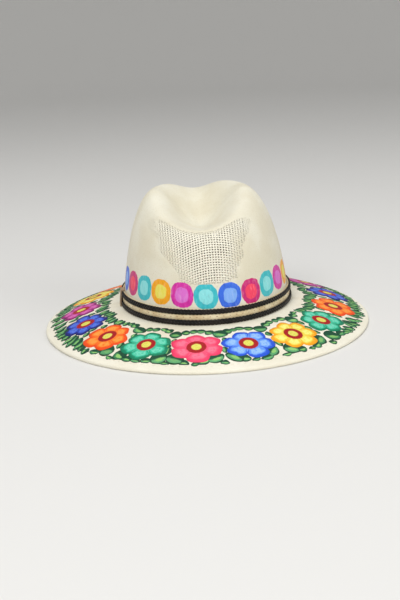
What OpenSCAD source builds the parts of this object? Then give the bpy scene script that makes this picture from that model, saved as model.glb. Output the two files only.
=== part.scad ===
// Wide-brim straw hat with a teardrop crown, a corded hatband and a wired, hemmed brim.
// Millimetres. The brim's hem stands on z = 0, the wearer's front faces -Y.

/* [Brim] */
// Width of the whole brim, side to side
brim_width = 332; // [310:1:360]
// Length of the whole brim, front to back
brim_length = 364; // [340:1:390]
// Height of the headline, where crown and brim meet, above the brim's edge
headline_height = 23; // [16:1:30]
// How far the brim bows up between headline and edge
brim_bow = 4; // [0:0.5:6]
// Thickness of the doubled straw of the brim
brim_thick = 2.4; // [1.8:0.1:2.4]
// Width of the hem that folds over the brim's edge
hem_width = 9; // [7:0.5:14]

/* [Crown] */
// Outer width of the crown at the headline
crown_width = 170; // [160:1:180]
// Outer length of the crown at the headline
crown_length = 209; // [198:1:220]
// Height of the two side ridges above the headline
side_height = 116; // [100:1:122]
// Height of the front ridge above the headline
front_height = 87; // [76:1:96]
// Height of the back ridge above the headline
back_height = 107; // [98:1:112]
// Height of the dent's floor above the headline
dent_height = 80; // [72:1:90]
// Distance between the two side ridges
ridge_width = 90; // [80:1:100]
// How far the front ridge lies ahead of the crown's middle
ridge_front = 75; // [68:1:80]
// How far the back ridge lies behind the crown's middle
ridge_back = 60; // [52:1:70]
// How far the top sits off the middle, to the side
ridge_shift = -3; // [-6:0.5:6]
// How far the side walls lean in over their height
wall_taper = 7; // [3:0.5:10]
// Thickness of the woven straw of the crown
crown_thick = 1.4; // [1:0.1:1.6]

/* [Hatband] */
// Height of the hatband
band_height = 15; // [12:0.5:18]
// Height of each of the two leather cords
cord_height = 5; // [4:0.5:5.5]
// How far a cord stands out from the band's backing strip
cord_depth = 2; // [1.4:0.1:2.6]

/* [Sweatband] */
// Height of the sweatband
sweatband_height = 28; // [22:1:36]
// Thickness of the sweatband
sweatband_thick = 1; // [0.7:0.1:1.2]

/* [Stitching] */
// Number of stitches round the hem
hem_stitches = 168; // [120:4:200]
// Number of stitches along the hatband
band_stitch_count = 84; // [60:2:100]

/* [Hidden] */
gap = 0.1;                                   // clearance between pieces that lie on each other
steps = 64;                                  // facets round every ring
base_a = crown_width / 2;
base_b = crown_length / 2;
brim_reach = brim_width / 2 - base_a;        // width of the brim at the sides
stretch = (brim_length / 2 - base_b) / brim_reach;
dent_y = -15;                                // where the dent is deepest
notch_turn = 6;                              // the back ridge is lowest a little off the middle
hem_thick = 0.6;
roll_r = brim_thick / 2 + gap + hem_thick;   // radius of the rolled edge
roll_off = brim_reach - roll_r;              // middle of the rolled edge, out from the crown
roll_z = roll_r - 0.2;                       // the roll is pressed flat by this much where it rests
wire_r = 0.8;
ferrule_r = 1.2;
collar_height = 8;                           // the brim's inner edge turns up inside the crown
collar_thick = 1.2;
collar_off = -crown_thick - gap;
sweat_off = collar_off - collar_thick - gap;
reed_r = 0.9;
strip_in = 0.6;                              // hollow for the headline stitches under the band
strip_thick = 0.8;
band_low = 1.5;                              // lowest edge of the band above the headline
cord_in = strip_in + strip_thick + gap / 2;
keeper_at = 188;                             // where the band joins, on the wearer's right

// Crown: a runs round the hat (0 = +X, -90 = front), s runs 0 at the headline, 1 on the
// ridge, 2 in the middle of the dent.
function ridge_height(a) = side_height
    - (side_height - front_height) * pow(max(0, -sin(a)), 1.2)
    - (side_height - back_height) * pow(max(0, sin(a - notch_turn)), 8);
function wall_axis(base, ridge, p) =
    base - wall_taper * sin(p) - (base - wall_taper - ridge) * (1 - cos(p));
function wall(a, p, off) = let (ridge_l = sin(a) < 0 ? ridge_front : ridge_back) [
    (wall_axis(base_a, ridge_width / 2, p) + off) * cos(a) + ridge_shift * (1 - cos(p)),
    (wall_axis(base_b, ridge_l, p) + off) * sin(a),
    headline_height + ridge_height(a) * sin(p)];
function dent(a, t) = let (edge = wall(a, 90, 0), k = t * t * (3 - 2 * t)) [
    edge.x * (1 - t) + ridge_shift * t,
    edge.y * (1 - t) + dent_y * t,
    edge.z * (1 - k) + (headline_height + dent_height) * k];
function crown_skin(a, s) = s < 1 ? wall(a, 90 * s, 0) : dent(a, s - 1);
function unit(v) = v / norm(v);
function crown_normal(a, s) = unit(cross(
    crown_skin(a + 1, s) - crown_skin(a - 1, s),
    crown_skin(a, s + 0.02) - crown_skin(a, s - 0.02)));
function crown_inside(a, s) = s == 0
    ? wall(a, 0, -crown_thick)
    : crown_skin(a, s) - crown_thick * crown_normal(a, s);

// Brim: height of the middle of its straw, off millimetres out from the crown's base.
function brim_z(off) = let (u = min(1, max(0, off / roll_off)))
    headline_height * (1 - u) + roll_z * u + brim_bow * sin(180 * u);

// Three ways to place a profile point q = [off, height] at the angle a.
on_oval = function (a, q) [
    (base_a + q.x) * cos(a), (base_b + q.x * stretch) * sin(a), q.y];
on_brim = function (a, q) on_oval(a, [q.x, max(0, brim_z(q.x) + q.y)]);
on_wall = function (a, q) wall(a, asin(q.y / ridge_height(a)), q.x);

function arc(x, y, r, from, to, n) =
    [for (i = [0:n]) let (t = from + (to - from) * i / n) [x + r * cos(t), y + r * sin(t)]];

// Sweeps a closed profile, listed anticlockwise, once round the hat.
module ring(profile, place) {
    m = len(profile);
    polyhedron(
        points = [for (i = [0:steps - 1]) for (q = profile) place(360 * i / steps, q)],
        faces = [for (i = [0:steps - 1]) for (j = [0:m - 1])
            let (i2 = (i + 1) % steps, j2 = (j + 1) % m)
            each [[i * m + j, i * m + j2, i2 * m + j2], [i * m + j, i2 * m + j2, i2 * m + j]]]);
}

// Sweeps a closed profile, listed anticlockwise, over part of the way round.
module arc_piece(profile, place, from, to, n) {
    m = len(profile);
    polyhedron(
        points = [for (i = [0:n]) for (q = profile) place(from + (to - from) * i / n, q)],
        faces = [
            [for (j = [m - 1:-1:0]) j],
            for (i = [0:n - 1]) for (j = [0:m - 1]) let (j2 = (j + 1) % m)
                each [[i * m + j, i * m + j2, (i + 1) * m + j2],
                    [i * m + j, (i + 1) * m + j2, (i + 1) * m + j]],
            [for (j = [0:m - 1]) n * m + j]]);
}

// A ring of straight stitches lying along the hat's oval.
module stitches(count, length, d, q, place) {
    for (i = [0:count - 1]) {
        a = 360 * (i + 0.5) / count;
        p = place(a, q);
        ahead = place(a + 0.5, q) - place(a - 0.5, q);
        translate(p)
            rotate([0, 90 - atan2(ahead.z, norm([ahead.x, ahead.y])), atan2(ahead.y, ahead.x)])
                cylinder(h = length, d = d, center = true, $fn = 6);
    }
}

module crown() {
    wall_rings = 14;
    dent_rings = 10;
    rings = wall_rings + dent_rings;
    s_of = [for (k = [0:rings - 1])
        k < wall_rings ? k / wall_rings : 1 + (k - wall_rings) / dent_rings];
    outer = [for (s = s_of) for (i = [0:steps - 1]) crown_skin(360 * i / steps, s)];
    inner = [for (s = s_of) for (i = [0:steps - 1]) crown_inside(360 * i / steps, s)];
    skin = rings * steps;
    floor_z = headline_height + dent_height;
    middle = [for (z = [floor_z, floor_z - crown_thick]) [ridge_shift, dent_y, z]];
    color("ivory")
        polyhedron(
            points = concat(outer, inner, middle),
            faces = [
                for (k = [0:rings - 2]) for (i = [0:steps - 1])
                    let (i2 = (i + 1) % steps, p = k * steps, q = p + steps)
                    each [[p + i, q + i, q + i2], [p + i, q + i2, p + i2],
                        [skin + p + i, skin + q + i2, skin + q + i],
                        [skin + p + i, skin + p + i2, skin + q + i2]],
                for (i = [0:steps - 1])
                    let (i2 = (i + 1) % steps, p = (rings - 1) * steps)
                    each [[p + i, 2 * skin, p + i2], [skin + p + i, skin + p + i2, 2 * skin + 1],
                        [i, i2, skin + i], [i2, skin + i2, skin + i]]]);
}

module brim() {
    rings = 10;
    half = brim_thick / 2;
    reach = roll_off - ferrule_r - gap;
    rise = collar_height + half;
    color("ivory")
        ring(concat(
            [for (k = [rings:-1:0]) [reach * k / rings, half]],
            [[collar_off, half], [collar_off, rise], [collar_off - collar_thick, rise]],
            [[collar_off - collar_thick, -half]],
            [for (k = [0:rings]) [reach * k / rings, -half]]), on_brim);
}

module brim_hem() {
    outer_r = roll_r;
    inner_r = roll_r - hem_thick;
    flap = roll_off - hem_width + roll_r;
    color("antiquewhite")
        ring(concat(
            [[flap, -outer_r]], arc(roll_off, 0, outer_r, -90, 90, 8), [[flap, outer_r]],
            [[flap, inner_r]], arc(roll_off, 0, inner_r, 90, -90, 6), [[flap, -inner_r]]), on_brim);
}

module brim_wire() {
    color("silver")
        arc_piece(arc(roll_off, 0, wire_r, 0, 315, 7), on_brim, 90.1, 449.9, steps);
}

module wire_ferrule() {
    color("gray")
        difference() {
            arc_piece(arc(roll_off, 0, ferrule_r, 0, 330, 11), on_brim, 87.5, 92.5, 2);
            arc_piece(arc(roll_off, 0, wire_r + gap / 2, 0, 330, 11), on_brim, 87, 93, 2);
        }
}

module hem_thread() {
    color("linen")
        stitches(hem_stitches, 3.4, 0.5, [brim_reach - hem_width + 2, roll_r + 0.3], on_brim);
}

module headline_thread() {
    color("linen")
        stitches(80, 4.5, 0.5, [0.3, 4], on_wall);
}

module band_strip() {
    color("tan")
        ring([[strip_in, band_low], [strip_in + strip_thick, band_low],
            [strip_in + strip_thick, band_low + band_height], [strip_in, band_low + band_height]],
            on_wall);
}

// A leather cord with a flat back and a rounded front.
module band_cord(low) {
    half = cord_height / 2;
    color("#1c1714")
        ring([for (i = [0:8]) let (t = -90 + 22.5 * i)
            [cord_in + cord_depth * cos(t), low + half + half * sin(t)]], on_wall);
}

module band_cord_upper() {
    band_cord(band_low + band_height - cord_height);
}

module band_cord_lower() {
    band_cord(band_low);
}

module band_stitches() {
    off = strip_in + strip_thick + 0.3;
    color("#8a4a2c")
        stitches(band_stitch_count, 2.2, 0.5, [off, band_low + band_height / 2], on_wall);
}

// A leather loop that covers the join of the band.
module band_keeper() {
    inside = cord_in + cord_depth + gap;
    outside = inside + 1;
    low = band_low - 1.2;
    high = band_low + band_height + 1.2;
    color("#a88a68")
        difference() {
            arc_piece([[0.1, low], [outside, low], [outside, high], [0.1, high]],
                on_wall, keeper_at - 3.5, keeper_at + 3.5, 4);
            arc_piece([[0.5, low + 1.1], [inside, low + 1.1], [inside, high - 1.1],
                [0.5, high - 1.1]], on_wall, keeper_at - 4, keeper_at + 4, 4);
        }
}

module sweatband() {
    color("wheat")
        ring([[sweat_off - sweatband_thick, 0.2], [sweat_off, 0.2],
            [sweat_off, sweatband_height], [sweat_off - sweatband_thick, sweatband_height]],
            on_wall);
}

module sweatband_reed() {
    color("whitesmoke")
        ring(arc(sweat_off - sweatband_thick / 2, headline_height - reed_r, reed_r, 0, 315, 7),
            on_oval);
}

module sweatband_thread() {
    color("linen")
        stitches(80, 4, 0.5, [sweat_off - sweatband_thick - 0.3, 3.5], on_wall);
}

// A small ribbon bow inside the back, the mark of the sweatband's join.
module sweatband_bow() {
    loop_r = 3.2;
    ribbon_w = 3;
    ribbon_t = 0.5;
    tail = 11;
    y = base_b + sweat_off - sweatband_thick - 1.3 - ribbon_w / 2;
    color("#4a3020")
        translate([0, y, headline_height + 14])
            rotate([90, 0, 0])
                linear_extrude(height = ribbon_w, center = true) {
                    for (side = [-1, 1]) {
                        translate([side * (loop_r + 0.6), 0])
                            difference() {
                                circle(r = loop_r, $fn = 32);
                                circle(r = loop_r - ribbon_t, $fn = 32);
                            }
                        rotate(side * 28)
                            translate([-ribbon_t / 2, -tail])
                                square([ribbon_t, tail]);
                    }
                    circle(r = 1.4, $fn = 24);
                }
}

crown();
brim();
brim_hem();
brim_wire();
wire_ferrule();
hem_thread();
headline_thread();
band_strip();
band_cord_upper();
band_cord_lower();
band_stitches();
band_keeper();
sweatband();
sweatband_reed();
sweatband_thread();
sweatband_bow();
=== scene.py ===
import math
from collections import namedtuple

import bpy
import numpy as np
from mathutils import Matrix, Vector


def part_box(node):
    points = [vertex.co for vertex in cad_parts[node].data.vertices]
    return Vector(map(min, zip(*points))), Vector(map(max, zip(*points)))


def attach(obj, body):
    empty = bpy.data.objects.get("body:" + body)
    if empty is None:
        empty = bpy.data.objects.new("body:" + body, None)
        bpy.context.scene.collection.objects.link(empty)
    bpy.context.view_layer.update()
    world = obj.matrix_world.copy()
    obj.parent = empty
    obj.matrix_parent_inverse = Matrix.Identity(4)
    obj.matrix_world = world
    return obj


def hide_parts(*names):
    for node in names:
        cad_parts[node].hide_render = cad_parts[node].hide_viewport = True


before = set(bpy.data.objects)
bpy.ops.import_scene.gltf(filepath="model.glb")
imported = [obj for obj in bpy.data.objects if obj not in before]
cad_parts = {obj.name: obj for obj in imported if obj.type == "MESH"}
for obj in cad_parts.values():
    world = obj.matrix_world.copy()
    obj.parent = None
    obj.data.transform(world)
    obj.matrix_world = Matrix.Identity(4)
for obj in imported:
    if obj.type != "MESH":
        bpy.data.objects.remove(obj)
scene = bpy.context.scene
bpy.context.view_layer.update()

# Lengths are in millimetres until a mesh is written.
MM = 0.001
RNG = np.random.default_rng(11)
BODY = "root"


# ---- the hat's shape
def span(node, axis):
    low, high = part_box(node)
    return (high[axis] - low[axis]) / MM


BASE_A = span("crown", 0) / 2  # half width of the crown at the headline
BASE_B = span("crown", 1) / 2  # half length of the crown at the headline
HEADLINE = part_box("crown")[0][2] / MM  # height where crown and brim meet
SIDE_H = span("crown", 2)  # ridge heights above the headline
FRONT_H = 87
BACK_H = 107
DENT_H = 80
RIDGE_A = 45  # half width of the ridge
RIDGE_FRONT = 75
RIDGE_BACK = 60
RIDGE_SHIFT = -3
DENT_Y = -15
NOTCH_TURN = math.radians(6)  # the back ridge is lowest a little off the middle
TAPER = 7
CROWN_THICK = 1.4

BRIM_REACH = span("brim_hem", 0) / 2 - BASE_A
STRETCH = (span("brim_hem", 1) / 2 - BASE_B) / BRIM_REACH
BRIM_BOW = 4
BRIM_HALF = 1.2
ROLL_R = 1.9
ROLL_OFF = BRIM_REACH - ROLL_R
ROLL_Z = 1.7
HEM_WIDTH = 9
HEM_THICK = 0.6
FLAP_OFF = ROLL_OFF - HEM_WIDTH + ROLL_R  # where the hem's flap begins

BAND_LOW = 1.5
BAND_H = 15
CORD_H = 5
CORD_IN = 1.45
CORD_DEPTH = 2
BRAID_STEP = 4.0
STRAND_WIDE = 1.4  # half sizes of a braided strand
STRAND_DEEP = 0.62
KEEPER_AT = 188  # degrees round the hat, near the wearer's right
KEEPER_HALF = 3.5  # degrees from its middle to its edge
KEEPER_THICK = 1.1
KEEPER_MORE = 1.2  # the loop reaches this far past the band's edges

FRONT = -math.pi / 2


def ridge_height(a):
    s = np.sin(a)
    front_drop = (SIDE_H - FRONT_H) * np.maximum(0, -s) ** 1.2
    back_drop = (SIDE_H - BACK_H) * np.maximum(0, np.sin(a - NOTCH_TURN)) ** 8
    return SIDE_H - front_drop - back_drop


def wall_axis(base, ridge, p):
    return base - TAPER * np.sin(p) - (base - TAPER - ridge) * (1 - np.cos(p))


def wall(a, p, off=0.0):
    """Outer skin of the side wall: a is the angle round the hat, p runs from 0 to 90 degrees."""
    a, p = np.broadcast_arrays(np.asarray(a, float), np.asarray(p, float))
    ridge_l = np.where(np.sin(a) < 0, RIDGE_FRONT, RIDGE_BACK)
    return np.stack([
        (wall_axis(BASE_A, RIDGE_A, p) + off) * np.cos(a) + RIDGE_SHIFT * (1 - np.cos(p)),
        (wall_axis(BASE_B, ridge_l, p) + off) * np.sin(a),
        HEADLINE + ridge_height(a) * np.sin(p)], -1)


def dent(a, t):
    """Outer skin inside the ridge: t is 0 on the ridge and 1 at the bottom of the dent."""
    edge = wall(a, math.pi / 2)
    k = t * t * (3 - 2 * t)
    return np.stack([
        edge[..., 0] * (1 - t) + RIDGE_SHIFT * t,
        edge[..., 1] * (1 - t) + DENT_Y * t,
        edge[..., 2] * (1 - k) + (HEADLINE + DENT_H) * k], -1)


def on_wall(a, off, h):
    return wall(a, np.arcsin(np.asarray(h) / ridge_height(np.asarray(a))), off)


def brim_z(off):
    u = np.clip(np.asarray(off, float) / ROLL_OFF, 0, 1)
    return HEADLINE * (1 - u) + ROLL_Z * u + BRIM_BOW * np.sin(math.pi * u)


def on_brim(a, off, n=0.0):
    """A point off millimetres out from the crown and n above the middle of the brim's straw."""
    a, off, n = np.broadcast_arrays(np.asarray(a, float), np.asarray(off, float), n)
    return np.stack([
        (BASE_A + off) * np.cos(a),
        (BASE_B + off * STRETCH) * np.sin(a),
        np.maximum(0, brim_z(off) + n)], -1)


def unit(v):
    return v / np.maximum(np.linalg.norm(v, axis=-1, keepdims=True), 1e-9)


def surface_normal(skin, u, v, e):
    """Unit normal of the surface skin(u, v), from points e to either side."""
    return unit(np.cross(skin(u + e, v) - skin(u - e, v), skin(u, v + e) - skin(u, v - e)))


def distances(points):
    """Distance of each point of a line from the line's start."""
    step = np.linalg.norm(np.diff(points, axis=-2), axis=-1)
    return np.concatenate([np.zeros((*step.shape[:-1], 1)), np.cumsum(step, axis=-1)], axis=-1)


def headline_oval(a):
    return np.stack([BASE_A * np.cos(a), BASE_B * np.sin(a)], -1)


def smooth(value, low, high):
    t = np.clip((value - low) / (high - low), 0, 1)
    return t * t * (3 - 2 * t)


# ---- meshes
def new_object(name, data):
    thing = bpy.data.objects.new(name, data)
    scene.collection.objects.link(thing)
    return thing


def new_mesh(name, verts, faces, material, slot, uvs=None, replaces=()):
    """A smooth mesh from millimetre points. uvs maps a layer's name to one pair per point."""
    mesh = bpy.data.meshes.new(name)
    mesh.from_pydata((np.asarray(verts, float) * MM).tolist(), [], faces)
    mesh.update()
    mesh.polygons.foreach_set("use_smooth", [True] * len(mesh.polygons))
    corner = np.empty(len(mesh.loops), int)
    mesh.loops.foreach_get("vertex_index", corner)
    for layer, pairs in (uvs or {}).items():
        uv = mesh.uv_layers.new(name=layer)
        uv.data.foreach_set("uv", np.asarray(pairs, float)[corner].ravel())
    mesh.materials.append(material)
    piece = new_object(name, mesh)
    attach(piece, BODY)
    if replaces:
        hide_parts(*replaces)


def full_turn(steps):
    """Evenly spaced angles that start at 0 and stop one step short of a full turn."""
    return np.arange(steps) * math.tau / steps


def grid_faces(rows, cols, wrap_rows=False, wrap_cols=False, start=0, flip=False):
    faces = []
    for i in range(rows if wrap_rows else rows - 1):
        i2 = (i + 1) % rows
        for j in range(cols if wrap_cols else cols - 1):
            j2 = (j + 1) % cols
            faces.append((start + i * cols + j, start + i * cols + j2,
                          start + i2 * cols + j2, start + i2 * cols + j))
    return [face[::-1] for face in faces] if flip else faces


def ring_mesh(name, profile, place, material, steps=256, **more):
    """Sweeps a closed profile of (off, height) points round the hat."""
    off, height = np.array(profile).T
    verts = place(full_turn(steps)[:, None], off, height).reshape(-1, 3)
    faces = grid_faces(steps, len(profile), True, True, flip=True)
    new_mesh(name, verts, faces, material, **more)


def arc_points(x, y, rx, ry, start, stop, n):
    t = np.linspace(math.radians(start), math.radians(stop), n + 1)
    return list(zip(x + rx * np.cos(t), y + ry * np.sin(t)))


def capped_faces(rings, sides, start):
    """Faces of a tube with flat ends."""
    last = start + (rings - 1) * sides
    return (grid_faces(rings, sides, wrap_cols=True, start=start)
            + [tuple(range(start, start + sides))[::-1], tuple(range(last, last + sides))])


class Pile:
    """Points, faces and layer values that add up to one mesh."""

    def __init__(self):
        self.verts, self.faces, self.layers, self.count = [], [], {}, 0

    def put(self, points, **layers):
        """Adds points with their layer values and returns the first point's number."""
        self.verts.append(points)
        for layer, pairs in layers.items():
            self.layers.setdefault(layer, []).append(pairs)
        self.count += len(points)
        return self.count - len(points)

    def build(self, name, material, slot, **more):
        layers = {layer: np.concatenate(pairs) for layer, pairs in self.layers.items()}
        new_mesh(name, np.concatenate(self.verts), self.faces, material, slot, layers, **more)


class Strands(Pile):
    """Closed strands, each with a four-sided lens section."""

    def add(self, points, normals, widths, thick, paint, loose):
        side = unit(np.cross(normals, unit(np.gradient(points, axis=0)))) * (widths / 2)[:, None]
        up = normals * (thick / 2)[:, None]
        ring = np.stack([points + side, points + up, points - side, points - up], 1)
        paint = np.stack([np.unwrap(paint[:, 0], period=1), paint[:, 1]], -1)
        loose = np.stack([loose, loose], -1)
        start = self.put(ring.reshape(-1, 3), paint=np.repeat(paint, 4, axis=0),
                         loose=np.repeat(loose, 4, axis=0))
        self.faces += capped_faces(len(points), 4, start)


def wavy(n, length):
    """A gentle random run of n values between -1 and 1, smooth over about length samples."""
    knots = RNG.uniform(-1, 1, int(n / length) + 4)
    x = np.arange(n) / length + RNG.uniform(0, 1)
    return np.interp(x, np.arange(len(knots)), knots)


# ---- shader helpers
def operator(operation):
    return lambda value, *others: value.shader.math(operation, value, *others)


class Value:
    """A number from a shader node, which can be used in sums."""

    __add__ = operator("ADD")
    __sub__ = operator("SUBTRACT")
    __mul__ = operator("MULTIPLY")
    __truediv__ = operator("DIVIDE")
    __pow__ = operator("POWER")
    __abs__ = operator("ABSOLUTE")

    def __init__(self, shader, socket):
        self.shader, self.socket = shader, socket


class Shader:
    """A Principled material with short calls for the nodes that feed it."""

    def __init__(self, name, roughness=0.7, **sockets):
        self.material = bpy.data.materials.new(name)
        self.material.use_nodes = True
        self.tree = self.material.node_tree
        self.bsdf = self.tree.nodes["Principled BSDF"]
        self.bsdf.inputs["Roughness"].default_value = roughness
        for socket, value in sockets.items():
            self.bsdf.inputs[socket.replace("_", " ")].default_value = value

    def plug(self, value, socket):
        if isinstance(value, Value):
            value = value.socket
        if isinstance(value, bpy.types.NodeSocket):
            self.tree.links.new(value, socket)
        else:
            socket.default_value = value

    def node(self, kind, inputs, **settings):
        node = self.tree.nodes.new("ShaderNode" + kind)
        for key, value in settings.items():
            setattr(node, key, value)
        for key, value in inputs.items():
            self.plug(value, node.inputs[key])
        return node

    def math(self, operation, *numbers):
        node = self.node("Math", dict(enumerate(numbers)), operation=operation)
        return Value(self, node.outputs[0])

    def step(self, value, low, high, out_low=0.0, out_high=1.0):
        """Smooth ramp from out_low to out_high as value goes from low to high."""
        node = self.node("MapRange", {
            "Value": value, "From Min": low, "From Max": high,
            "To Min": out_low, "To Max": out_high}, interpolation_type="SMOOTHSTEP")
        return Value(self, node.outputs["Result"])

    def mix(self, factor, a, b, blend="MIX"):
        node = self.node("Mix", {0: factor, 6: rgba(a), 7: rgba(b)},
                         data_type="RGBA", blend_type=blend)
        return node.outputs[2]

    def coords(self, layer=None):
        if layer:
            return self.node("UVMap", {}, uv_map=layer).outputs["UV"]
        return self.node("TexCoord", {}).outputs["Object"]

    def scaled(self, vector, scale):
        return self.node("Mapping", {"Vector": vector, "Scale": scale}).outputs[0]

    def noise(self, vector, scale, detail=3.0, rough=0.55):
        node = self.node("TexNoise", {
            "Vector": vector, "Scale": scale, "Detail": detail, "Roughness": rough})
        return Value(self, node.outputs["Fac"])

    def split(self, vector):
        """The first two numbers of a vector."""
        node = self.node("SeparateXYZ", {"Vector": vector})
        return Value(self, node.outputs["X"]), Value(self, node.outputs["Y"])

    def colour(self, value):
        self.plug(rgba(value), self.bsdf.inputs["Base Color"])

    def roughness(self, value):
        self.plug(value, self.bsdf.inputs["Roughness"])

    def bump(self, height, distance, strength, below=None):
        inputs = {"Height": height, "Distance": distance, "Strength": strength}
        if below is not None:
            inputs["Normal"] = below
        node = self.node("Bump", inputs)
        self.plug(node.outputs[0], self.bsdf.inputs["Normal"])
        return node.outputs[0]


def rgba(value):
    if isinstance(value, tuple) and len(value) == 3:
        return (*value, 1.0)
    return value


def srgb(*levels):
    """A colour given as 0 to 255 screen values."""
    shares = [level / 255 for level in levels]
    return tuple(c / 12.92 if c <= 0.04045 else ((c + 0.055) / 1.055) ** 2.4 for c in shares)


CREAM = srgb(233, 226, 203)
CREAM_DEEP = srgb(219, 207, 176)
CREAM_PALE = srgb(243, 239, 222)


# ---- camera, floor and light (the floor and the lights are in metres)
VIEW_ELEVATION = math.radians(15.6)
VIEW_ROLL = math.radians(-2.4)
VIEW_DISTANCE = 1200
LENS = 69.12
AIM_RIGHT = -7.4  # where the view's middle lies from the hat's origin
AIM_UP = 20.52


def make_camera():
    back = Vector((0, -math.cos(VIEW_ELEVATION), math.sin(VIEW_ELEVATION)))
    right = Vector((1, 0, 0))
    up = back.cross(right)
    turned_right = right * math.cos(VIEW_ROLL) + up * math.sin(VIEW_ROLL)
    turned_up = up * math.cos(VIEW_ROLL) - right * math.sin(VIEW_ROLL)
    place = back * VIEW_DISTANCE
    target = turned_right * AIM_RIGHT + turned_up * AIM_UP
    look = (place - target).normalized()
    side = turned_up.cross(look).normalized()
    top = look.cross(side)
    data = bpy.data.cameras.new("camera")
    data.sensor_width = 36
    data.lens = LENS
    camera = new_object("camera", data)
    turned = Matrix((side, top, look)).transposed().to_4x4()
    camera.matrix_world = Matrix.Translation(place * MM) @ turned
    scene.camera = camera


def make_floor():
    """A round floor that curves up into a wall far behind the hat, so no horizon shows."""
    flat, curve, top, steps = 3.0, 2.0, 2.6, 96
    profile = [(0.4, 0.0), (flat, 0.0)]
    profile += [(flat + curve * math.sin(t), curve * (1 - math.cos(t)))
                for t in np.linspace(0.05, math.pi / 2, 24)]
    profile.append((flat + curve, top))
    verts = [(r * math.cos(a), r * math.sin(a), z) for r, z in profile for a in full_turn(steps)]
    mesh = bpy.data.meshes.new("floor")
    sweep = grid_faces(len(profile), steps, wrap_cols=True, flip=True)
    mesh.from_pydata(verts, [], sweep + [tuple(range(steps))])
    mesh.polygons.foreach_set("use_smooth", [True] * len(mesh.polygons))
    floor = new_object("floor", mesh)
    floor.location.z = -0.0002
    paper = Shader("floor_paper", roughness=0.8)
    paper.colour(srgb(226, 225, 222))
    mesh.materials.append(paper.material)


def area_light(name, place, target, size, power, tint=(1, 1, 1)):
    data = bpy.data.lights.new(name, "AREA")
    data.shape = "DISK"
    data.size = size
    data.energy = power
    data.color = tint
    light = new_object(name, data)
    light.location = place
    light.rotation_euler = (Vector(target) - Vector(place)).to_track_quat("-Z", "Y").to_euler()


def make_lights():
    area_light("key", (-0.7, -1.5, 1.5), (0, 0, 0.05), 1.0, 19)
    area_light("fill", (1.3, -1.2, 0.8), (0, 0, 0.06), 1.2, 10.5)
    area_light("top", (0, 0.3, 1.8), (0, 0, 0), 1.2, 10)
    world = bpy.data.worlds.new("studio")
    world.use_nodes = True
    background = world.node_tree.nodes["Background"].inputs
    background["Color"].default_value = (1, 1, 1, 1)
    background["Strength"].default_value = 0.45
    scene.world = world
    scene.view_settings.view_transform = "Standard"


# ---- painted dots on the crown
DOT_COUNT = 24
DOT_PITCH = 24.6
DOT_MIDDLE = 29.5  # height of the dots' middles above the headline
DOTS = {  # rim colour, middle colour
    "turquoise": (srgb(58, 190, 200), srgb(140, 226, 228)),
    "blue": (srgb(52, 108, 226), srgb(128, 176, 246)),
    "red": (srgb(205, 28, 118), srgb(250, 66, 100)),
    "magenta": (srgb(214, 44, 164), srgb(222, 112, 208)),
    "yellow": (srgb(246, 168, 18), srgb(238, 226, 92)),
}
DOT_ORDER = ("turquoise blue red turquoise magenta yellow red turquoise blue magenta yellow"
             " turquoise red blue magenta yellow turquoise magenta yellow blue red turquoise"
             " yellow magenta").split()
DOT_DIP = 3.4  # the row of dots hangs this much lower at the front
PAINT_SCALE = 100.0  # the paint layer's second value is height / 100 mm
NO_DOT = 9.0  # a second value that lies outside every dot
DOT_POWER = 2.35  # 2 makes the dots round, more makes them squarer
RELIEF_COUNT = 227  # straws round the crown that show faintly in the primer
# The crown's cream is multiplied by this share: painted shade, because the upright crown gets less
# light than the brim.
CROWN_PAINTED_SHADE = (0.90, 0.90, 0.885)
LOOSE_STRAW_PAINTED_LIGHT = srgb(252, 247, 228)  # open-weave straws are painted paler than the primer: painted light that offsets the shade between the raised straws


def constant_ramp(shader, value, colours):
    """Bands of plain colour, one after another, as value goes from 0 to 1."""
    node = shader.node("ValToRGB", {"Fac": value})
    ramp = node.color_ramp
    ramp.interpolation = "CONSTANT"
    while len(ramp.elements) < len(colours):
        ramp.elements.new(1.0)
    for index, colour in enumerate(colours):
        ramp.elements[index].position = index / len(colours)
        ramp.elements[index].color = rgba(colour)
    return node.outputs["Color"]


def straw_colour(shader):
    """Primed cream straw: warm and pale patches, and darker fibres."""
    place = shader.coords()
    patches = shader.noise(place, 22, 3)
    fibres = shader.noise(place, 900, 2)
    tone = shader.mix(shader.step(patches, 0.35, 0.68), CREAM, CREAM_PALE)
    return shader.mix(shader.step(fibres, 0.52, 0.75, 0, 0.55), tone, CREAM_DEEP)


def facing_out(shader, place):
    """1 on surfaces that face away from the crown's middle, 0 on its inside."""
    normal = shader.node("NewGeometry", {}).outputs["Normal"]
    normal_x, normal_y = shader.split(normal)
    x, y = shader.split(place)
    return shader.math("GREATER_THAN", normal_x * x + normal_y * y, 0.0)


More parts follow.
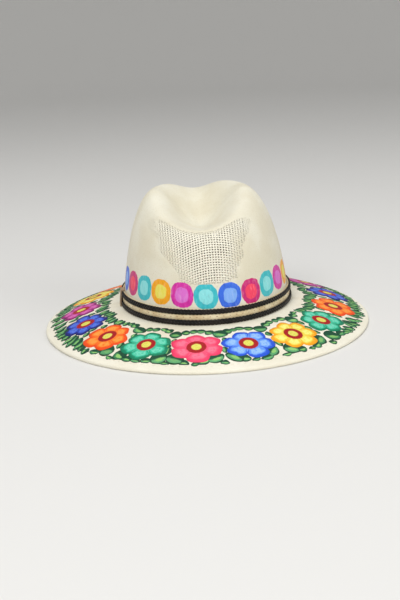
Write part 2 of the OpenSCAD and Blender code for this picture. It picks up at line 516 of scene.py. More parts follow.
def crown_material(name, is_weave):
    """Cream straw or primer with the row of painted dots above the hatband."""
    shader = Shader(name, roughness=0.72, Sheen_Weight=0.12, Specular_IOR_Level=0.3)
    place = shader.coords()
    round_hat, up_wall = shader.split(shader.coords("paint"))
    height = up_wall * PAINT_SCALE
    wobble = (shader.noise(place, 130, 2) - 0.5) * 0.10
    dots = round_hat * DOT_COUNT
    turn = dots + 0.5 + wobble
    cell = shader.math("FLOOR", turn)
    from_front = shader.math("WRAP", dots, DOT_COUNT / 2, -DOT_COUNT / 2)
    dip = shader.step(from_front, -2.6, 0.9, 0, DOT_DIP) * shader.step(from_front, 3.4, 1.9)
    x = abs(turn - cell - 0.5)
    y = abs((height - DOT_MIDDLE + dip) / DOT_PITCH + wobble)
    radius = (x ** DOT_POWER + y ** DOT_POWER) ** (1 / DOT_POWER)
    streaks_and_gap_shade = shader.noise(shader.scaled(place, (1, 1, 0.35)), 420, 3)
    brush = streaks_and_gap_shade - 0.5

    pick = (shader.math("WRAP", cell, DOT_COUNT, 0.0) + 0.5) / DOT_COUNT
    rim = constant_ramp(shader, pick, [DOTS[kind][0] for kind in DOT_ORDER])
    middle = constant_ramp(shader, pick, [DOTS[kind][1] for kind in DOT_ORDER])
    dot = shader.mix(shader.step(radius + brush * 0.10, 0.275, 0.305), middle, rim)
    dot = shader.mix(shader.step(streaks_and_gap_shade, 0.5, 0.78, 0, 0.14), dot, (1, 1, 1))
    # Near-black streaks in the dots are painted shade for the dark gaps of the weave under the paint;
    # the white streaks are brush marks.
    dot = shader.mix(shader.step(streaks_and_gap_shade, 0.48, 0.2, 0, 0.25), dot, (0.0, 0.0, 0.02))
    painted = shader.step(radius + brush * 0.05, 0.505, 0.485)
    # Unpainted crown cream, darkened by painted shade.
    bare = shader.mix(1.0, straw_colour(shader), CROWN_PAINTED_SHADE, "MULTIPLY")
    if is_weave:
        painted = painted * facing_out(shader, place)
        loose = shader.split(shader.coords("loose"))[0]
        # Where the weave lies open the straw is painted paler: painted light against the shade of the
        # relief.
        bare = shader.mix(loose, bare, LOOSE_STRAW_PAINTED_LIGHT)
    shader.colour(shader.mix(painted, bare, dot))
    shader.roughness(shader.step(painted, 0, 1, 0.74, 0.5))

    around = shader.math("SINE", round_hat * (math.tau * RELIEF_COUNT))
    upward = shader.math("SINE", height * (math.tau / WEFT_PITCH))
    relief = shader.bump(around * upward, 0.0002, 0.18)
    shader.bump(shader.noise(place, 1600, 2), 0.0002, 0.5, below=relief)
    return shader.material


# ---- crown of real over-and-under straw
WARP_PITCH = 2.6
WEFT_PITCH = 2.45
PARALLEL_X = 42  # straws this close to the middle run straight over the top
DROOP = 0.01  # how the crossing straws sag away from the middle
DROOP_MIDDLE = 9
WEAVE_RISE = 0.22
STRAW_THICK = 0.46
WARP_WIDTH = 1.42
WEFT_WIDTH = 1.42
WEFT_SHUT = WEFT_PITCH * 1.04  # width at which the crossing straws just overlap
CLOSED_RISE = 0.03
CLOSED_THICK = 0.16
SIDE_SKIN_DEPTH = 0.36  # how far the primer lies below the outer skin
DENT_SKIN_DEPTH = 0.34
SKIN_SINK = 0.5  # how far the primer sinks into the weave before it ends
SKIN_END = 0.22  # the openness at which it ends
OPEN_LOW = 44  # heights between which the weave can lie open
OPEN_HIGH = 90
WALL_SAMPLES = 121


def warp_base_angles():
    """Base angle of every half warp step: even entries are warps, odd ones lie between."""
    half_zone = math.acos(PARALLEL_X / BASE_A)
    fine = np.linspace(-half_zone, half_zone, 2001)
    length = distances(headline_oval(fine))
    side_count = 2 * int(round(length[-1] / WARP_PITCH / 2))
    right = np.interp(np.arange(2 * side_count) / (2 * side_count) * length[-1], length, fine)
    across = 2 * int(round(PARALLEL_X / WARP_PITCH))
    x = PARALLEL_X - 2 * PARALLEL_X * np.arange(2 * across) / (2 * across)
    back = np.arccos(x / BASE_A)
    return np.concatenate([right, back, right + math.pi, back + math.pi])


def warp_angle(base, p):
    """Angle of a warp at height p: straight over the top near the middle, fanned at the sides."""
    half_width = wall_axis(BASE_A, RIDGE_A, p)
    x = BASE_A * np.cos(base)
    side = np.sign(x)
    zone_base = math.acos(PARALLEL_X / BASE_A)
    zone = np.arccos(PARALLEL_X / half_width)
    from_side = np.arctan2(np.sin(base), side * np.cos(base))
    fanned = from_side / zone_base * zone
    fanned = np.where(side < 0, math.pi - fanned, fanned)
    straight = np.arccos(np.clip(x / half_width, -1, 1)) * np.sign(np.sin(base))
    return np.where(np.abs(x) <= PARALLEL_X + 0.01, straight, fanned)


def arc_fraction(a):
    """How far round the oval an angle lies, 0 at the front, 1 after a full turn."""
    fine = np.linspace(FRONT, FRONT + math.tau, 1441)
    length = distances(headline_oval(fine))
    turned = (np.asarray(a) - FRONT) % math.tau + FRONT
    return np.interp(turned, fine, length / length[-1])


def openness(point, a):
    """1 where the weave is open, 0 where primer fills it: open high on the front and the back."""
    x, z = point[..., 0], point[..., 2]
    height = z - HEADLINE
    lean = 2.5 - 0.16 * (height - OPEN_LOW)
    ripple = 1.6 * np.sin(z / 3.7 + 1.3 * np.sin(x / 5.0)) + 1.2 * np.sin(z / 1.9 + x / 2.3)
    reach = np.minimum(21 + 0.5 * (height - OPEN_LOW), 43)
    middle = 1 - smooth(np.abs(x - lean) + ripple, reach - 23, reach + 15)
    above_dots = smooth(height, OPEN_LOW - 6, OPEN_LOW)
    below_ridge = 1 - smooth(height / ridge_height(a), 0.93, 1.0)
    return middle * above_dots * below_ridge * (1 - smooth(height, OPEN_HIGH, OPEN_HIGH + 10))


Cloth = namedtuple("Cloth", "point facing lift thick paint loose")  # a grid for the straws


def lay(cloth, strands, at, width, side):
    """Adds the straw along at. It bends outward by side times the lift."""
    facing = cloth.facing[at]
    strands.add(cloth.point[at] + facing * (side * cloth.lift[at])[:, None], facing, width,
                cloth.thick[at], cloth.paint[at], cloth.loose[at])


def resample(wanted, height, known):
    """Reads the known columns of each line, given at its heights, off at the wanted heights."""
    return np.stack([np.stack([np.interp(wanted[j], height[j], column) for column in known[j].T],
                              -1) for j in range(len(known))])


def make_crown_wall(material):
    base = warp_base_angles()
    p = np.linspace(0, math.pi / 2, WALL_SAMPLES)
    angle = warp_angle(base[:, None], p)
    skin = wall(angle, p)
    normal = surface_normal(wall, angle, np.minimum(p, math.pi / 2 - 0.02), 0.01)
    height = distances(skin)
    droop = DROOP * (BASE_A * np.cos(base) - DROOP_MIDDLE) ** 2
    rows = np.arange(0, (height[:, -1] + droop).max(), WEFT_PITCH / 2)
    level = rows - droop[:, None]
    valid = (level >= 0) & (level <= height[:, -1:])
    found = resample(level, height, np.concatenate([skin, normal, np.unwrap(angle)[..., None]], -1))
    facing, turn = unit(found[..., 3:6]), found[..., 6]
    point = found[..., :3] - facing * CROWN_THICK / 2
    paint = np.stack([arc_fraction(turn), np.clip(level, 0, None) / PAINT_SCALE], -1)
    is_open = smooth(openness(point, turn), SKIN_END - 0.05, 0.95)
    gap = np.linalg.norm(np.roll(point, -2, axis=0) - point, axis=2)
    halving = np.where(gap > 1.7, 0, np.where(gap > 0.85, 1, 2))
    straw = np.arange(len(base))[:, None] // 2
    alive = (np.arange(len(base))[:, None] % 2 == 0) & (straw % (2 ** halving) == 0)
    row = np.arange(len(rows))
    crossing = alive & (row % 2 == 0)
    over = np.where(((straw >> halving) + row // 2) % 2 == 0, 1.0, -1.0) * crossing
    x, y, z = np.moveaxis(point, -1, 0)
    patchy = 0.5 + 0.5 * np.sin(x / 7 + 2 * np.sin(z / 9)) * np.sin(z / 5 + y / 11)
    rise = CLOSED_RISE + (WEAVE_RISE - CLOSED_RISE) * is_open
    thick = CLOSED_THICK + (STRAW_THICK - CLOSED_THICK) * is_open
    warp_shut = np.minimum(gap * 2 ** halving * 1.03, 3.4)
    cloth = Cloth(point, facing, over * rise, thick, paint, is_open)
    wefts = Strands()
    for i in range(0, len(rows), 2):
        for run in runs(valid[:, i], closed=True, shortest=6):
            at = (run, i)
            width = WEFT_WIDTH + 0.22 * wavy(len(run), 9) + 0.25 * patchy[at]
            width = WEFT_SHUT * (1 - is_open[at]) + width * is_open[at]
            lay(cloth, wefts, at, width, 1)
    warps = Strands()
    for j in range(0, len(base), 2):
        for run in runs(valid[j] & alive[j], shortest=4):
            at = (j, run)
            width = WARP_WIDTH + 0.2 * wavy(len(run), 9) + 0.15 * patchy[at]
            width = warp_shut[at] * (1 - is_open[at]) + width * is_open[at]
            lay(cloth, warps, at, width, -1)
    wefts.build("crown_weft_straw", material, slot="crown_straw", replaces=("crown",))
    warps.build("crown_warp_straw", material, slot="crown_straw")


def runs(ok, closed=False, shortest=1):
    """Index runs where ok holds. On a closed ring a run may pass the start, or meet its own end."""
    n = len(ok)
    if closed and ok.all():
        return [np.concatenate([np.arange(n), [0]])]
    start = int(np.argmin(ok)) if closed else 0
    order = (np.arange(n) + start) % n if closed else np.arange(n)
    breaks = np.flatnonzero(np.diff(ok[order].astype(int))) + 1
    pieces = np.split(order, breaks)
    return [piece for piece in pieces if ok[piece[0]] and len(piece) >= shortest]


def crown_skin(a, s):
    """The whole outer skin: s is 0 at the headline, 1 on the ridge, 2 in the middle of the dent."""
    a, s = np.broadcast_arrays(np.asarray(a, float), np.asarray(s, float))
    low, high = wall(a, np.minimum(s, 1) * math.pi / 2), dent(a, np.maximum(s - 1, 0))
    return np.where((s < 1)[..., None], low, high)


def make_primer_skin(material):
    """Primer that covers the weave wherever it is closed."""
    columns = 360
    a = math.pi / 2 + np.linspace(0, math.tau, columns + 1)[:, None]
    s = np.concatenate([np.linspace(0.01, 1, 70), np.linspace(1.02, 1.98, 40)])
    skin = crown_skin(a, s)
    normal = surface_normal(crown_skin, a, s, 0.01)
    loose = openness(skin, a) * (s < 1)
    depth = np.where(s < 1, SIDE_SKIN_DEPTH, DENT_SKIN_DEPTH) + SKIN_SINK * smooth(loose, 0, SKIN_END)
    point = skin - normal * depth[..., None]
    level = distances(skin)
    turn = np.unwrap(arc_fraction(a), axis=0, period=1)
    paint = np.stack([turn + 0 * level, np.where(s < 1, level / PAINT_SCALE, NO_DOT)], -1)
    shut = (loose < SKIN_END).ravel()
    rows = len(s)
    faces = [(f[0], f[3], f[2], f[1]) for f in grid_faces(columns + 1, rows)
             if shut[list(f)].all()]
    verts = point.reshape(-1, 3)
    middle = len(verts)
    bottom = np.array([[RIDGE_SHIFT, DENT_Y, HEADLINE + DENT_H - DENT_SKIN_DEPTH]])
    faces += [(i * rows + rows - 1, (i + 1) * rows + rows - 1, middle) for i in range(columns)]
    new_mesh("crown_primer_skin", np.concatenate([verts, bottom]), faces, material,
             uvs={"paint": np.concatenate([paint.reshape(-1, 2), [[0.5, NO_DOT]]])},
             slot="crown_straw")


def dent_param(x, y):
    """Angle and depth of the dent's skin above the point x, y, measured from the ridge's middle."""
    def from_middle(t):
        edge_y = (y - DENT_Y * t) / (1 - t)
        return x / (1 - t) / RIDGE_A, edge_y / np.where(edge_y < 0, RIDGE_FRONT, RIDGE_BACK)

    low, high = np.full(x.shape, -0.10), np.full(x.shape, 0.9995)
    for _ in range(40):
        t = (low + high) / 2
        right, back = from_middle(t)
        outside = right ** 2 + back ** 2 > 1
        high = np.where(outside, t, high)
        low = np.where(outside, low, t)
    right, back = from_middle(low)
    return np.arctan2(back, right), low


def dent_skin(x, y):
    a, t = dent_param(x, y)
    return dent(a, np.maximum(t, 0)), t


def make_crown_tip(material):
    across = 2 * int(round(PARALLEL_X / WARP_PITCH))
    x = PARALLEL_X * (1 - np.arange(-2, 2 * across + 3) / across)
    y = np.arange(-RIDGE_FRONT - 2, RIDGE_BACK + 3, WEFT_PITCH / 2)
    x_grid, y_grid = np.meshgrid(x, y, indexing="ij")
    skin, t = dent_skin(x_grid, y_grid)
    normal = surface_normal(lambda x, y: dent_skin(x, y)[0], x_grid, y_grid, 0.4)
    normal = np.where(normal[..., 2:] < 0, -normal, normal)
    point = skin - normal * CROWN_THICK / 2
    valid = t > 0.004
    i, j = np.arange(len(x))[:, None], np.arange(len(y))
    crossing = (i % 2 == 0) & (j % 2 == 0)
    over = np.where((i // 2 + j // 2) % 2 == 0, 1.0, -1.0) * crossing
    paint = np.broadcast_to([0.5, NO_DOT], (*x_grid.shape, 2))
    shut = np.zeros(x_grid.shape)
    cloth = Cloth(point, normal, over * CLOSED_RISE, shut + CLOSED_THICK, paint, shut)
    tip = Strands()
    for k in range(0, len(x), 2):
        for run in runs(valid[k], shortest=4):
            lay(cloth, tip, (k, run), WARP_PITCH * 1.04 + 0.05 * wavy(len(run), 9), -1)
    for k in range(0, len(y), 2):
        for run in runs(valid[:, k], shortest=4):
            lay(cloth, tip, (run, k), WEFT_SHUT + 0.05 * wavy(len(run), 9), 1)
    tip.build("crown_tip_straw", material, slot="crown_straw")


# ---- brim and hem
def cloth_material(name, pitch, depth, tone=None):
    """Close-woven straw under cream primer: fine canvas relief, patches and faint marks."""
    shader = Shader(name, roughness=0.7, Sheen_Weight=0.1, Specular_IOR_Level=0.3)
    place = shader.coords()
    x, y = shader.split(place)
    turns = math.tau / (pitch * MM)
    weave = shader.math("SINE", x * turns) * shader.math("SINE", y * turns)
    colour = straw_colour(shader)
    if tone:
        colour = shader.mix(0.5, colour, tone)
    shader.colour(shader.mix(shader.step(weave, 0.1, 0.9, 0, 0.14), colour, CREAM_DEEP))
    lumps = shader.bump(shader.noise(place, 160, 3), 0.0012, 0.35)
    shader.bump(weave, depth * MM, 0.6, below=lumps)
    return shader.material


def make_brim(material):
    rings = 40
    offs = [(ROLL_OFF - 1.3) * k / rings for k in range(rings + 1)]
    top = [(off, BRIM_HALF) for off in reversed(offs)]
    collar = arc_points(-2.1, 8 + BRIM_HALF, 0.6, 0.6, 0, 180, 6)
    bottom = [(off, -BRIM_HALF) for off in offs]
    profile = top + [(-1.5, BRIM_HALF + 0.2)] + collar + [(-2.7, -BRIM_HALF + 0.4)] + bottom
    ring_mesh("brim_cloth", profile, on_brim, material, steps=300, slot="brim_straw",
              replaces=("brim",))


def make_hem(material):
    inner = ROLL_R - HEM_THICK
    profile = (arc_points(FLAP_OFF, -(inner + ROLL_R) / 2, 0.3, 0.3, 90, 270, 4)
               + arc_points(ROLL_OFF, 0, ROLL_R, ROLL_R, -90, 90, 16)
               + arc_points(FLAP_OFF, (inner + ROLL_R) / 2, 0.3, 0.3, 90, 270, 4)
               + arc_points(ROLL_OFF, 0, inner, inner, 90, -90, 10))
    ring_mesh("brim_hem_cloth", profile, on_brim, material, steps=300, slot="hem_cloth",
              replaces=("brim_hem",))


# ---- thread
def thread_material(name, colour, dark):
    """Twisted thread. The paint layer runs along and round each stitch."""
    shader = Shader(name, roughness=0.65, Sheen_Weight=0.2)
    along, around = shader.split(shader.coords("paint"))
    twist = shader.math("SINE", along * 30.0 + around * 6.28)
    shader.colour(shader.mix(shader.step(twist, -0.2, 1.0), colour, dark))
    shader.bump(twist, 0.00008, 0.8)
    return shader.material


def tube(spine, out, side, high, wide, sides):
    """Points of a tube round a spine, high along out and wide along side, ring by ring."""
    turns = full_turn(sides)
    high, wide = np.broadcast_arrays(high, wide)
    return (spine[..., None, :] + out[..., None, :] * (high[..., None] * np.cos(turns))[..., None]
            + side[..., None, :] * (wide[..., None] * np.sin(turns))[..., None])


def make_stitches(name, count, length, size, place, material, **more):
    """Round stitches that rise out of the cloth and dip back into it at each end."""
    rings, sides = 7, 8
    middle = math.tau * (np.arange(count)[:, None] + 0.5) / count
    here = place(middle)
    ahead = unit(place(middle + 0.002) - place(middle - 0.002))
    up = place(middle, 0.5) - here
    up = unit(up - ahead * (up * ahead).sum(-1, keepdims=True))
    side = np.cross(ahead, up)
    slant = RNG.normal(0, 0.05, (count, 1, 1))
    u = np.linspace(-1, 1, rings)[:, None]
    spine = here + ahead * (u * length / 2) + side * (u * slant * length) - up * (0.35 * size * u * u)
    fat = size / 2 * np.sqrt(np.maximum(0.04, 1 - u[:, 0] ** 4))
    verts = tube(spine, up, side, fat, fat, sides).reshape(-1, 3)
    faces = []
    for start in range(0, len(verts), rings * sides):
        faces += capped_faces(rings, sides, start)
    uvs = [(r / (rings - 1), s / sides) for r in range(rings) for s in range(sides)] * count
    new_mesh(name, verts, faces, material, uvs={"paint": uvs}, **more)


# ---- hatband
def leather_material(name, colour, dark, roughness, grain=900.0, shine=0.5):
    """Leather with a cell-like grain and uneven tone."""
    shader = Shader(name, roughness=roughness, Specular_IOR_Level=shine)
    place = shader.coords()
    cells = shader.node("TexVoronoi", {"Vector": place, "Scale": grain},
                        feature="DISTANCE_TO_EDGE").outputs["Distance"]
    tone = shader.noise(place, 90, 4)
    shader.colour(shader.mix(shader.step(tone, 0.3, 0.7), dark, colour))
    shader.roughness(shader.step(tone, 0.3, 0.7, roughness + 0.12, roughness - 0.05))
    shader.bump(cells, 0.0002, 0.5)
    return shader.material


def make_braid(name, low, material, replaces):
    """Three strands braided flat. At each edge one turns back about every BRAID_STEP mm."""
    girth = math.tau * math.sqrt((BASE_A ** 2 + BASE_B ** 2) / 2)
    periods = 3 * round(girth / (3 * BRAID_STEP) / 3)
    steps, sides = periods * 20, 8
    angle = full_turn(steps)
    swing = CORD_H / 2 + 0.25 - STRAND_WIDE
    braid = Pile()
    for strand in range(3):
        phase = periods * angle + strand * math.tau / 3
        height = BAND_LOW + low + CORD_H / 2 + swing * np.sin(phase)
        depth = CORD_IN + STRAND_DEEP + 0.35 + 0.42 * np.sin(2 * phase)
        middle = on_wall(angle, depth, height)
        ahead = unit(np.roll(middle, -1, axis=0) - np.roll(middle, 1, axis=0))
        out = unit(on_wall(angle, depth + 1, height) - middle)
        out = unit(out - ahead * (out * ahead).sum(-1, keepdims=True))
        ring = tube(middle, out, np.cross(ahead, out), STRAND_DEEP, STRAND_WIDE, sides)
        start = braid.put(ring.reshape(-1, 3))
        braid.faces += grid_faces(steps, sides, True, True, start, flip=True)
    braid.build(name, material, slot="cord_leather", replaces=replaces)


def make_band():
    black = leather_material("cord_black_leather", srgb(30, 22, 19), srgb(8, 5, 5), 0.36,
                             grain=700.0, shine=0.28)
    tan = leather_material("strip_tan_leather", srgb(238, 224, 188), srgb(214, 190, 146), 0.55)
    make_braid("band_braid_lower", 0, black, ("band_cord_lower",))
    make_braid("band_braid_upper", BAND_H - CORD_H, black, ("band_cord_upper",))
    low, high = BAND_LOW, BAND_LOW + BAND_H
    profile = ([(0.6, low + 0.1), (1.0, low), (1.4, low + 0.3)]
               + [(1.4 + 0.5 * math.sin(math.pi * k / 8), low + 5 + 5 * k / 8) for k in range(9)]
               + [(1.4, high - 0.3), (1.0, high), (0.6, high - 0.1)])
    ring_mesh("band_backing_strip", profile, on_wall, tan, slot="band_leather",
              replaces=("band_strip",))
    brown = thread_material("band_thread_brown", srgb(168, 102, 66), srgb(118, 64, 40))
    middle = BAND_LOW + BAND_H / 2
    make_stitches("band_saddle_stitches", 84, 1.7, 0.55,
                  lambda a, more=0.0: on_wall(a, 1.95 + more, middle), brown,
                  slot="band_thread", replaces=("band_stitches",))
    hide = leather_material("keeper_brown_leather", srgb(184, 158, 128), srgb(136, 108, 82), 0.5)
    make_keeper(hide, low - KEEPER_MORE, high + KEEPER_MORE)


def keeper_outline(low, high, front, front_rx, front_ry, back, back_r):
    """A closed outline whose corners are broad at the front and tight at the back."""
    return (arc_points(front, high - front_ry, front_rx, front_ry, 0, 90, 5)
            + arc_points(back, high - back_r, back_r, back_r, 90, 180, 4)
            + arc_points(back, low + back_r, back_r, back_r, 180, 270, 4)
            + arc_points(front, low + front_ry, front_rx, front_ry, -90, 0, 5))


def make_keeper(material, low, high):
    """A leather loop round the band's join: the loop's section is swept over its width."""
    inside = CORD_IN + CORD_DEPTH + 0.1
    section = keeper_outline(low, high, inside - 0.4, 1.3, 0.9, 0.5, 0.4)
    hole = keeper_outline(low + KEEPER_THICK, high - KEEPER_THICK, inside - 0.3, 0.3, 0.4, 0.7, 0.2)
    steps = 10
    angle = np.radians(KEEPER_AT + KEEPER_HALF * np.linspace(-1, 1, steps))
    verts = []
    for outline in (section, hole):
        off, height = np.array(outline).T
        verts.append(on_wall(angle[:, None], off, height).reshape(-1, 3))
    sides = len(section)
    inner, end = steps * sides, (steps - 1) * sides
    faces = grid_faces(steps, sides, wrap_cols=True, flip=True)
    faces += grid_faces(steps, sides, wrap_cols=True, start=inner)
    for j in range(sides):
        k = (j + 1) % sides
        faces.append((j, inner + j, inner + k, k))
        faces.append((end + k, inner + end + k, inner + end + j, end + j))
    new_mesh("band_keeper_loop", np.concatenate(verts), faces, material, slot="band_leather",
             replaces=("band_keeper",))


# ---- inside
PLAIN_PIECES = {  # material, light tone, dark tone, surface
    "sweatband_reed": (
        "reed_nylon", srgb(232, 230, 222), srgb(214, 210, 198),
        {"roughness": 0.35, "Subsurface_Weight": 0.1}),
    "brim_wire": (
        "wire_drawn_steel", srgb(190, 190, 192), srgb(150, 150, 152),
        {"roughness": 0.3, "Metallic": 1.0}),
    "wire_ferrule": (
        "ferrule_crimped_steel", srgb(160, 160, 162), srgb(120, 120, 122),
        {"roughness": 0.45, "Metallic": 1.0}),
    "headline_thread": (
        "headline_cotton", srgb(236, 228, 206), srgb(196, 182, 150),
        {"roughness": 0.8, "Sheen_Weight": 0.2}),
    "sweatband_bow": (
        "bow_grosgrain", srgb(92, 62, 42), srgb(58, 38, 26),
        {"roughness": 0.75, "Sheen_Weight": 0.3}),
}


def make_inside():
    sweat = leather_material("sweatband_leather", srgb(206, 184, 150), srgb(178, 150, 112), 0.6)
    cotton = thread_material("cotton_thread", srgb(240, 233, 212), srgb(224, 214, 188))
    outer, inner = -2.8, -3.8
    top, bottom = 28, 0.2
    profile = (arc_points(-3.3, top - 0.5, 0.5, 0.5, 0, 180, 6)
               + [(inner, top * k / 8) for k in range(7, 0, -1)]
               + [(inner, bottom), (outer, bottom)] + [(outer, top * k / 8) for k in range(1, 8)])
    ring_mesh("sweatband_strip", profile, on_wall, sweat, steps=200, slot="sweatband_leather",
              replaces=("sweatband",))
    make_stitches("sweatband_stitches", 80, 4.0, 0.55,
                  lambda a, more=0.0: on_wall(a, inner - 0.1 - more, 3.5), cotton,
                  slot="thread", replaces=("sweatband_thread",))
    make_stitches("hem_stitches", 168, 3.6, 0.45,
                  lambda a, more=0.0: on_brim(a, BRIM_REACH - HEM_WIDTH + 2, ROLL_R + 0.08 + more),
                  cotton, slot="thread", replaces=("hem_thread",))
    for name, (title, light, dark, sockets) in PLAIN_PIECES.items():
        shader = Shader(title, **sockets)
        streak = shader.noise(shader.scaled(shader.coords(), (1, 1, 3)), 700, 3)
        shader.colour(shader.mix(streak, light, dark))
        shader.bump(streak, 0.0001, 0.5)
        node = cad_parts[name]
        node.data.materials.clear()
        node.data.materials.append(shader.material)


# ---- painted flowers and leaves
FLOWER_COUNT = 17
FLOWER_START = math.radians(-94.7)
FLOWER_OFF = 45.5
FLOWER_R = 25.0
PAINT_LIFT = BRIM_HALF + 0.06
PAINT_FOOT = BRIM_HALF - 0.15  # paint reaches this far down, into the straw
FLOWERS = {  # petal, highlight, outline
    "pink": (srgb(252, 82, 118), srgb(254, 116, 144), srgb(238, 58, 102)),
    "sky": (srgb(94, 150, 244), srgb(150, 192, 252), srgb(36, 86, 214)),
    "yellow": (srgb(240, 216, 70), srgb(244, 240, 130), srgb(246, 164, 22)),
    "teal": (srgb(46, 190, 150), srgb(112, 214, 184), srgb(10, 128, 92)),
    "orange": (srgb(255, 118, 22), srgb(255, 160, 62), srgb(240, 76, 8)),
    "navy": (srgb(44, 74, 196), srgb(84, 120, 226), srgb(18, 26, 112)),
    "magenta": (srgb(196, 52, 150), srgb(222, 110, 186), srgb(134, 20, 104)),
}
RING_REDS = (srgb(146, 2, 14), srgb(206, 14, 22))
MIDDLE_YELLOWS = (srgb(214, 206, 60), srgb(240, 236, 130))
FLOWER_ORDER = ("pink sky yellow teal orange navy magenta yellow pink teal sky orange"
                " yellow magenta navy orange teal").split()


def flower_material(name, petal, light, outline):
    """Brushed paint: outlined petals with a light dab each, a dark red ring and a yellow middle.

    The petals layer is the place in the flower. The polar layer is the distance from the middle
    as a share of the outline's, and the place across one petal."""
    shader = Shader(name, roughness=0.45, Specular_IOR_Level=0.2)
    place = shader.coords("petals")
    x, y = shader.split(place)
    edge, phase = shader.split(shader.coords("polar"))
    brush = shader.noise(place, 7.5, 4, 0.65)
    hairs = shader.noise(shader.scaled(place, (3, 3, 1)), 9, 3, 0.7)
    wobble = (brush - 0.5) * 0.5
    radius = (x * x + y * y) ** 0.5
    seam = abs(phase - 0.5) + wobble * 0.25
    rim = edge + wobble * 0.5
    ring = radius + wobble * 0.12

    dab = shader.step(rim, 0.82, 0.74) * shader.step(rim, 0.42, 0.54)
    dab = dab * shader.step(seam, 0.36, 0.28) * shader.step(brush, 0.36, 0.5)
    between = shader.step(seam, 0.40, 0.45) * shader.step(radius, 0.36, 0.5) * 0.9
    colour = shader.mix(dab, petal, light)
    colour = shader.mix(shader.step(rim, 0.80, 0.88), colour, outline)
    colour = shader.mix(between, colour, outline)
    colour = shader.mix(shader.step(hairs, 0.58, 0.8, 0, 0.14), colour, CREAM_PALE)
    red = shader.mix(shader.step(hairs, 0.4, 0.7), *RING_REDS)
    colour = shader.mix(shader.step(ring, 0.385, 0.345), colour, red)
    yellow = shader.mix(shader.step(hairs, 0.4, 0.65), *MIDDLE_YELLOWS)
    colour = shader.mix(shader.step(ring, 0.205, 0.17), colour, yellow)
    shader.colour(colour)
    shader.roughness(shader.step(hairs, 0.3, 0.7, 0.36, 0.52))
    shader.bump(brush + hairs, 0.0004, 0.5)
    return shader.material


def local_to_brim(angle, off, tangent, outward, lift):
    """A point beside (angle, off): tangent millimetres round the hat and outward millimetres out."""
    reach = np.hypot((BASE_A + off) * np.sin(angle), (BASE_B + off * STRETCH) * np.cos(angle))
    return on_brim(angle + tangent / reach, off + outward, lift)


def hem_step(off):
    """How much higher the hem's flap lies than the brim's straw."""
    return (ROLL_R - BRIM_HALF) * smooth(off, FLAP_OFF - 3, FLAP_OFF - 1.2)


def make_flower(index, kind, material):
    angle = FLOWER_START + index * math.tau / FLOWER_COUNT
    off = FLOWER_OFF + RNG.uniform(-1.0, 1.0)
    petals = 7 if index % 3 == 2 else 6
    turn = RNG.uniform(0, math.tau)
    size = FLOWER_R * RNG.uniform(0.98, 1.04)
    rings, sides = 12, 120
    phi = full_turn(sides)
    lobe = np.abs(np.cos((phi - turn) * petals / 2))
    reach = 0.75 + 0.25 * lobe ** 0.6
    reach = reach * (1 + 0.035 * np.sin(3 * phi + turn) + 0.02 * np.sin(11 * phi + 2 * turn))
    phase = ((phi - turn) * petals / math.tau + 0.5) % 1.0
    edge = np.append(np.arange(1, rings + 1), rings)[:, None] / rings
    x, y = edge * reach * np.cos(phi), edge * reach * np.sin(phi) * 0.86
    lift = np.full(edge.shape, PAINT_LIFT + 0.32)
    lift[-2:, 0] = PAINT_LIFT + 0.2, PAINT_FOOT
    sheet = local_to_brim(angle, off, x * size, y * size, lift).reshape(-1, 3)
    centre = local_to_brim(angle, off, np.zeros(1), np.zeros(1), PAINT_LIFT + 0.36)
    polar = np.stack(np.broadcast_arrays(edge, phase), -1).reshape(-1, 2)
    flat = np.stack([x, y], -1).reshape(-1, 2)
    faces = grid_faces(rings + 1, sides, wrap_cols=True, flip=True)
    faces += [(k, (k + 1) % sides, len(sheet)) for k in range(sides)]
    faces.append(tuple(range(rings * sides, (rings + 1) * sides))[::-1])
    layers = {"petals": np.concatenate([flat, [[0, 0]]]),
              "polar": np.concatenate([polar, [[0, 0.5]]])}
    new_mesh("flower_%s_%02d" % (kind, index), np.concatenate([sheet, centre]), faces, material,
             uvs=layers, slot="brim_straw")


def leaf_material():
    """A leaf with one dark side, a dark outline and a light dab. Each leaf has its own tones."""
    shader = Shader("leaf_paint", roughness=0.5, Specular_IOR_Level=0.2)
    along, across = shader.split(shader.coords("leaf"))
    tone, shine = shader.split(shader.coords("seed"))
    brush = shader.noise(shader.coords(), 420, 3, 0.65)
    wobble = (brush - 0.5) * 0.6
    colour = shader.mix(shader.step(tone, 0.0, 1.0), *LEAF_GREENS)
    colour = shader.mix(shader.step(across + wobble, 0.25, -0.12), colour, LEAF_DARK)
    dab_x = (along - 0.54) * 1.5
    dab_y = (across - 0.25) * 1.4
    from_dab = (dab_x * dab_x + dab_y * dab_y) ** 0.5 + wobble
    colour = shader.mix(shader.step(from_dab, 0.46, 0.3) * shine, colour, LEAF_LIGHT)
    rim = shader.math("MAXIMUM", abs(across), abs(along * 2.0 - 1.0)) + wobble * 0.3
    shader.colour(shader.mix(shader.step(rim, 0.72, 0.82, 0, 0.9), colour, LEAF_OUTLINE))
    shader.bump(brush, 0.0004, 0.5)
    return shader.material


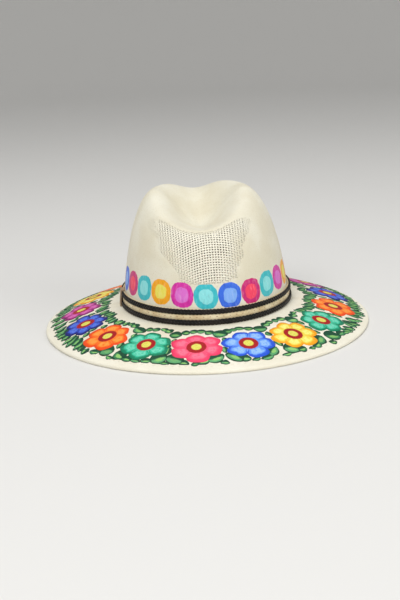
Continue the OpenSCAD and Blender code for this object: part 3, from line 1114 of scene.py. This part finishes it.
class Leaves(Pile):
    """Almond-shaped dabs of paint that follow the brim."""

    def add(self, angle, off, length, width, turn):
        rows, cols = 9, 7
        s = np.linspace(0, 1, rows)[:, None]
        c = np.linspace(-1, 1, cols)
        half = width / 2 * np.sin(math.pi * (0.04 + 0.92 * s)) ** LEAF_POINT
        bend = RNG.uniform(-0.12, 0.12) * length
        x = (s - 0.5) * length + 0 * c
        y = c * half + bend * np.sin(math.pi * s)
        tangent = x * math.cos(turn) - y * math.sin(turn)
        outward = x * math.sin(turn) + y * math.cos(turn)
        lift = PAINT_LIFT + 0.14 - 0.12 * np.maximum(np.abs(c) ** 4, np.abs(2 * s - 1) ** 6)
        lift = lift + 0.04 * (len(self.verts) % 3) + hem_step(off + outward)
        n = rows * cols
        points = np.stack([local_to_brim(angle, off, tangent, outward, z)
                           for z in (lift, PAINT_FOOT)])
        leaf = np.stack(np.broadcast_arrays(s, c), -1).reshape(-1, 2)
        seed = np.tile([RNG.uniform(), RNG.uniform(0.25, 1.0)], (2 * n, 1))
        start = self.put(points.reshape(-1, 3), leaf=np.tile(leaf, (2, 1)), seed=seed)
        self.faces += grid_faces(rows, cols, start=start, flip=True)
        self.faces += grid_faces(rows, cols, start=start + n)
        ids = start + np.arange(n).reshape(rows, cols)
        rim = np.concatenate([ids[0, :-1], ids[:-1, -1], ids[-1, :0:-1], ids[:0:-1, 0]]).tolist()
        for here, after in zip(rim, rim[1:] + rim[:1]):
            self.faces.append((here, here + n, after + n, after))


LEAF_DARK = srgb(18, 74, 50)
LEAF_OUTLINE = srgb(16, 66, 44)
LEAF_LIGHT = srgb(146, 204, 112)
LEAF_GREENS = (srgb(48, 124, 76), srgb(96, 168, 112))
# Leaves of one gap between two flowers: degrees from the gap's middle, distance out from the
# crown, length, width and turn in degrees from the tangent.
OUTER_LEAVES = [
    (-7.3, 67.4, 12, 9.5, -14), (-3.2, 62.4, 19, 15.5, -34), (3.1, 63.2, 18, 15.0, 30),
    (7.2, 68.0, 12, 9.5, 12), (10.6, 70.0, 9, 7.0, 0), (-0.2, 70.6, 9, 6.5, 8),
]
INNER_LEAVES = [
    (-9.0, 16.6, 8.5, 8.5, 20), (-5.1, 18.4, 9, 10.5, 22), (-0.3, 24.0, 15, 15.0, 12),
    (4.6, 18.8, 9, 10.5, -20), (8.4, 16.2, 8, 8.5, 5),
]
PETAL_GAP_LEAVES = [(0.2, 53.0, 10, 7.0, 80), (-1.4, 46.0, 9, 6.0, 80), (0.9, 35.5, 10, 7.0, 85)]
LEAF_POINT = 0.75  # below 1 the leaves are round-ended, above 1 pointed
SIDES_FROM = 0.8  # the cosine from which a gap lies at the hat's side
SIDE_SPREAD = 3.5  # at the sides the outer leaves reach this much further out


def strokes(pitch, off, more_off, length, more_length, width):
    """Slim leaves side by side across a gap. In its middle they shift by more_off and grow."""
    leaves = []
    for turn in np.arange(-9.3, 9.4, pitch):
        room = 1 - (turn / 10.6) ** 2
        leaves.append((turn, off + more_off * room, length + more_length * room, width, 74))
    return leaves


def make_paintwork():
    paints = {kind: flower_material("flower_paint_" + kind, *tones)
              for kind, tones in FLOWERS.items()}
    for index, kind in enumerate(FLOWER_ORDER):
        make_flower(index, kind, paints[kind])
    green = leaf_material()
    for gap in range(FLOWER_COUNT):
        middle = FLOWER_START + (gap + 0.5) * math.tau / FLOWER_COUNT
        leaves = Leaves()
        if abs(math.cos(middle)) > SIDES_FROM:
            pattern = strokes(2.65, 71.8, -5.0, 11, 7, 9.5) + strokes(3.0, 17.5, 5.5, 10, 5, 8.5)
        else:
            spread = SIDE_SPREAD * math.cos(middle) ** 2
            pattern = [(turn, off + spread, *rest) for turn, off, *rest in OUTER_LEAVES]
            pattern += INNER_LEAVES
        pattern += PETAL_GAP_LEAVES
        for turn, off, length, width, lean in pattern:
            leaves.add(middle + math.radians(turn + RNG.uniform(-0.7, 0.7)),
                       off + RNG.uniform(-1.2, 1.2), length * RNG.uniform(0.8, 1.15),
                       width * RNG.uniform(0.8, 1.15),
                       math.radians(lean + RNG.uniform(-16, 16)))
        leaves.build("leaves_%02d" % gap, green, slot="brim_straw")


# ---- build
make_camera()
make_floor()
make_lights()
crown_straw = crown_material("crown_straw_painted", is_weave=True)
make_crown_wall(crown_straw)
make_crown_tip(crown_straw)
make_primer_skin(crown_material("crown_primer_painted", is_weave=False))
make_brim(cloth_material("brim_primed_straw", 1.3, 0.12))
make_hem(cloth_material("hem_primed_straw", 1.1, 0.1, CREAM_PALE))
make_band()
make_inside()
make_paintwork()
